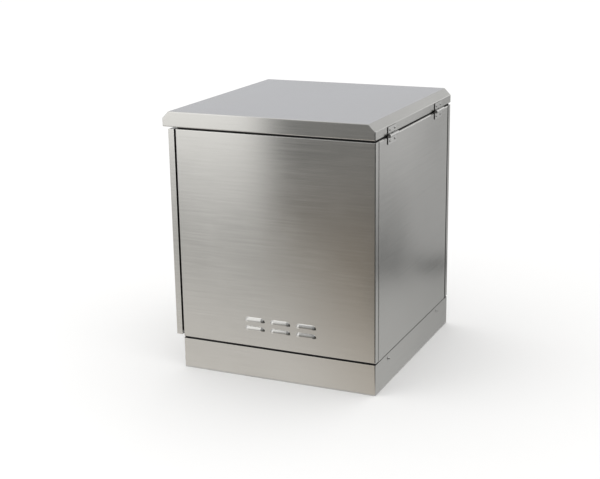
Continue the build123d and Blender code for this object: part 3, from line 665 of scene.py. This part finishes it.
button_screws("plinth_screws", lambda middle: TO_REAR * math.copysign(1.0, middle.x))
for leaf in ("fixed", "moving"):
    button_screws(f"lid_hinge_{leaf}_screws", lambda middle: TO_REAR)
    button_screws(f"door_hinge_{leaf}_screws", lambda middle: TO_FAR_SIDE)


# Studio


def plane_object(name, corners, material):
    mesh = bpy.data.meshes.new(name)
    mesh.from_pydata([tuple(c) for c in corners], [], [tuple(range(len(corners)))])
    mesh.materials.append(material)
    obj = bpy.data.objects.new(name, mesh)
    bpy.context.scene.collection.objects.link(obj)
    return obj


def level_corners(x_range, y_range, z):
    (x0, x1), (y0, y1) = x_range, y_range
    return [(x0, y0, z), (x1, y0, z), (x1, y1, z), (x0, y1, z)]


def floor():
    material, s = new_material("pale_floor", FLOOR_COLOUR)
    speck = s.vary(s.noise(s.place(), *SPECK_NOISE), *SPECK_SHADES)
    s.surface(Base_Color=s.tint(FLOOR_COLOUR, speck), Roughness=FLOOR_ROUGHNESS, Specular_IOR_Level=0.0)
    span = (-FLOOR_SIDE / 2, FLOOR_SIDE / 2)
    plane_object("floor", level_corners(span, span, 0.0), material)


def white_world():
    """White where the camera, metal or glass looks, and a slightly stronger fill for everything else."""
    world = bpy.data.worlds.new("studio")
    bpy.context.scene.world = world
    world.use_nodes = True
    s = Shader(world.node_tree)
    path = s.node("ShaderNodeLightPath").outputs
    shown = s.math("MAXIMUM", path["Is Camera Ray"], path["Is Glossy Ray"])
    shown = s.math("MAXIMUM", shown, path["Is Transmission Ray"])
    strength = s.mix(shown, WORLD_FILL, 1.0)
    background = s.node("ShaderNodeBackground", {"Color": opaque(WHITE), "Strength": strength})
    s.end(background.outputs[0], "ShaderNodeOutputWorld")


def softbox():
    light = bpy.data.lights.new("softbox", "AREA")
    light.shape = "RECTANGLE"
    light.size = SOFTBOX_WIDTH
    light.size_y = SOFTBOX_HEIGHT
    light.energy = SOFTBOX_RADIANCE * math.pi * SOFTBOX_WIDTH * SOFTBOX_HEIGHT
    obj = bpy.data.objects.new("softbox", light)
    obj.location = SOFTBOX_PLACE
    obj.rotation_euler = (SOFTBOX_AIM - SOFTBOX_PLACE).to_track_quat("-Z", "Y").to_euler()
    obj.visible_camera = False
    bpy.context.scene.collection.objects.link(obj)


def reflection_only(obj):
    for ray in ("camera", "diffuse", "shadow", "transmission", "volume_scatter"):
        setattr(obj, f"visible_{ray}", False)


def glowing(name, colour_of, clear_of=None):
    """A material that shines with the colour that colour_of works out from x, y and z.

    It is see-through by the share that clear_of works out from the same values.
    """
    material, s = new_material(name, WHITE)
    x, y, z = s.split(s.place())
    shader = s.node("ShaderNodeEmission", {"Color": colour_of(s, x, y, z), "Strength": 1.0}).outputs[0]
    if clear_of:
        clear = s.node("ShaderNodeBsdfTransparent").outputs[0]
        shader = s.node("ShaderNodeMixShader", {0: clear_of(s, x, y, z), 1: shader, 2: clear}).outputs[0]
    s.end(shader, "ShaderNodeOutputMaterial")
    return material


def standing_card(name, foot_start, foot_end, height, colour_of, foot_height=0.0, clear_of=None):
    """An upright glowing card that only shows in reflections, where it paints them."""
    start = Vector((*foot_start, foot_height))
    end = Vector((*foot_end, foot_height))
    rise = UP * height
    material = glowing(name, colour_of, clear_of)
    reflection_only(plane_object(name, [start, end, end + rise, start + rise], material))


def lying_card(name, x_range, y_range, z, colour_of):
    """A level glowing card that only shows in reflections, where it paints them."""
    reflection_only(plane_object(name, level_corners(x_range, y_range, z), glowing(name, colour_of)))


def plain(colour):
    return lambda s, x, y, z: opaque(colour)


def front_floor_painted_reflection(s, x, y, z):
    """Painted reflection of the floor in front, with painted shade: darker and warmer to the right and further
    out, and near black past the corner.
    """
    out = s.ramp(y, FRONT_NEAR, FRONT_FAR)
    left = s.colour_mix(out, opaque(LEFT_NEAR), opaque(LEFT_FAR))
    right = s.colour_mix(out, opaque(RIGHT_NEAR), opaque(RIGHT_FAR))
    lean = s.math("MULTIPLY", s.math("SUBTRACT", y, SHADE_PIVOT), SHADE_SLOPE)
    colour = s.colour_mix(s.ramp(s.math("SUBTRACT", x, lean), SHADE_LEFT, SHADE_RIGHT), left, right)
    away = s.math("MULTIPLY", s.math("SUBTRACT", y, FRONT_NEAR), CORNER_SLOPE)
    corner = s.ramp(s.math("SUBTRACT", x, away), CORNER_START, CORNER_END)
    return s.colour_mix(corner, colour, opaque(CORNER_PAINTED_SHADE))


def front_screen_painted_reflection(s, x, y, z):
    """Painted reflection: painted light to the left and painted shade to the right of an edge that leans left
    high up.
    """
    bright = s.colour_mix(s.line(z, *BRIGHT_Z), opaque(BRIGHT_LOW), opaque(BRIGHT_HIGH))
    dark = s.colour_mix(s.ramp(z, *DARK_Z), opaque(DARK_LOW), opaque(DARK_HIGH))
    dark = s.colour_mix(s.ramp(z, *DARK_LID_Z), dark, opaque(DARK_LID))
    dark = s.colour_mix(s.ramp(x, *DARK_RIGHT_X), dark, opaque(DARK_RIGHT))
    dark = s.colour_mix(s.ramp(z, *DARK_HIGHEST_Z), dark, opaque(DARK_HIGHEST))
    above = s.math("MAXIMUM", s.math("SUBTRACT", z, FADE_LEAN_FROM), 0.0)
    across = s.math("ADD", x, s.math("MULTIPLY", above, FADE_LEAN))
    return s.colour_mix(s.ramp(across, FADE_START, FADE_END), bright, dark)


def side_floor_painted_reflection(s, x, y, z):
    """Painted reflection of the floor beside the rear wall, with painted shade: darker towards the wall's far
    end and further out.
    """
    lean = s.math("MULTIPLY", s.math("SUBTRACT", x, SIDE_FLOOR_PIVOT), SIDE_FLOOR_SLOPE)
    tone = s.line(s.math("SUBTRACT", y, lean), *SIDE_FLOOR_ACROSS, *SIDE_FLOOR_TONES)
    tone = s.mix(s.ramp(x, *SIDE_FLOOR_OUTER_X), tone, SIDE_FLOOR_OUTER_TONE)
    return s.warm_grey(tone, SIDE_FLOOR_BLUE_SHARE)


def along_screen(s, x, y):
    """How far a point is along the grey screen from its near point."""
    return s.math("ADD", s.math("MULTIPLY", s.math("SUBTRACT", x, SCREEN_NEAR.x), SCREEN_WAY.x),
                  s.math("MULTIPLY", s.math("SUBTRACT", y, SCREEN_NEAR.y), SCREEN_WAY.y))


def screen_clear(s, x, y, z):
    """The grey screen fades out beyond its far point."""
    return s.ramp(along_screen(s, x, y), SCREEN_LENGTH + SCREEN_SOLID, SCREEN_LENGTH + SCREEN_BEYOND)


def grey_screen_painted_reflection(s, x, y, z):
    """Painted reflection of the grey screen: painted shade darkest at its near foot and along its far foot,
    with a bright strip high up that is a painted highlight.
    """
    along = along_screen(s, x, y)
    low_span, top_span, foot_span = (
        [share * SCREEN_LENGTH for share in shares]
        for shares in (SCREEN_LOW_SHARES, SCREEN_TOP_SHARES, SCREEN_FOOT_SHARES)
    )
    low = s.ramp(along, *low_span, *SCREEN_LOW_TONES)
    top = s.ramp(along, *top_span, *SCREEN_TOP_TONES)
    tone = s.mix(s.line(z, 0.0, SCREEN_TOP_Z), low, top)
    foot = s.math("MULTIPLY", s.ramp(along, *foot_span), s.ramp(z, *SCREEN_FOOT_Z))
    tone = s.mix(foot, tone, SCREEN_FOOT_TONE)
    tone = s.mix(s.ramp(z, *SCREEN_HIGHLIGHT_Z), tone, SCREEN_HIGHLIGHT_TONE)
    tone = s.mix(s.ramp(z, *SCREEN_SKY_Z), tone, SCREEN_SKY_TONE)
    return s.warm_grey(tone, SCREEN_BLUE_SHARE)


# Painted reflection of the floor beside the door, with painted shade towards the far side
def door_floor_painted_reflection(s, x, y, z):
    return s.grey(s.ramp(y, *DOOR_SHADE_Y, *DOOR_SHADES))


def cards():
    """Glowing cards round the cabinet that paint what its bright steel mirrors: painted reflections with
    painted shade and painted highlights.
    """
    lying_card("door_floor_card", DOOR_FLOOR_X, DOOR_FLOOR_Y, CARD_RISE, door_floor_painted_reflection)
    front_x = (-FRONT_HALF, FRONT_HALF)
    lying_card("front_floor_card", front_x, (FRONT_FAR, FRONT_NEAR), CARD_RISE, front_floor_painted_reflection)
    lying_card("side_floor_card", SIDE_FLOOR_X, SIDE_FLOOR_Y, CARD_RISE, side_floor_painted_reflection)
    screen_left, screen_right = ((x, FRONT_SCREEN_Y) for x in (FRONT_SCREEN_LEFT, FRONT_SCREEN_RIGHT))
    standing_card("front_screen", screen_left, screen_right, FRONT_SCREEN_HEIGHT, front_screen_painted_reflection)
    standing_card("corner_flag", screen_right, CORNER_FLAG_END, CORNER_FLAG_HEIGHT, plain(CORNER_FLAG))
    standing_card("side_flag", CORNER_FLAG_END, SIDE_FLAG_END, SIDE_FLAG_HEIGHT, plain(SIDE_FLAG))
    back_left, back_right = ((x, BACK_CARD_Y) for x in BACK_CARD_X)
    standing_card("back_card", back_left, back_right, BACK_CARD_HEIGHT, plain(BACK_CARD), BACK_CARD_FOOT)
    lying_card("top_card", TOP_CARD_X, TOP_CARD_Y, TOP_CARD_Z, plain(TOP_CARD_PAINTED_HIGHLIGHT))
    grey_near = SCREEN_NEAR - SCREEN_WAY * SCREEN_BEFORE
    grey_far = SCREEN_FAR + SCREEN_WAY * SCREEN_BEYOND
    standing_card("grey_screen", grey_near, grey_far, SCREEN_HEIGHT, grey_screen_painted_reflection, clear_of=screen_clear)


def camera():
    right = CAMERA_FORWARD.cross(UP).normalized()
    up = right.cross(CAMERA_FORWARD).normalized()
    tilted_right = right * math.cos(CAMERA_ROLL) + up * math.sin(CAMERA_ROLL)
    tilted_up = up * math.cos(CAMERA_ROLL) - right * math.sin(CAMERA_ROLL)
    turn = Matrix((tilted_right, tilted_up, -CAMERA_FORWARD.normalized())).transposed().to_4x4()
    data = bpy.data.cameras.new("camera")
    data.lens = CAMERA_LENS
    data.sensor_width = CAMERA_SENSOR
    obj = bpy.data.objects.new("camera", data)
    obj.matrix_world = Matrix.Translation(CAMERA_PLACE) @ turn
    bpy.context.scene.collection.objects.link(obj)
    bpy.context.scene.camera = obj


floor()
white_world()
softbox()
cards()
camera()
bpy.context.scene.view_settings.view_transform = "Standard"
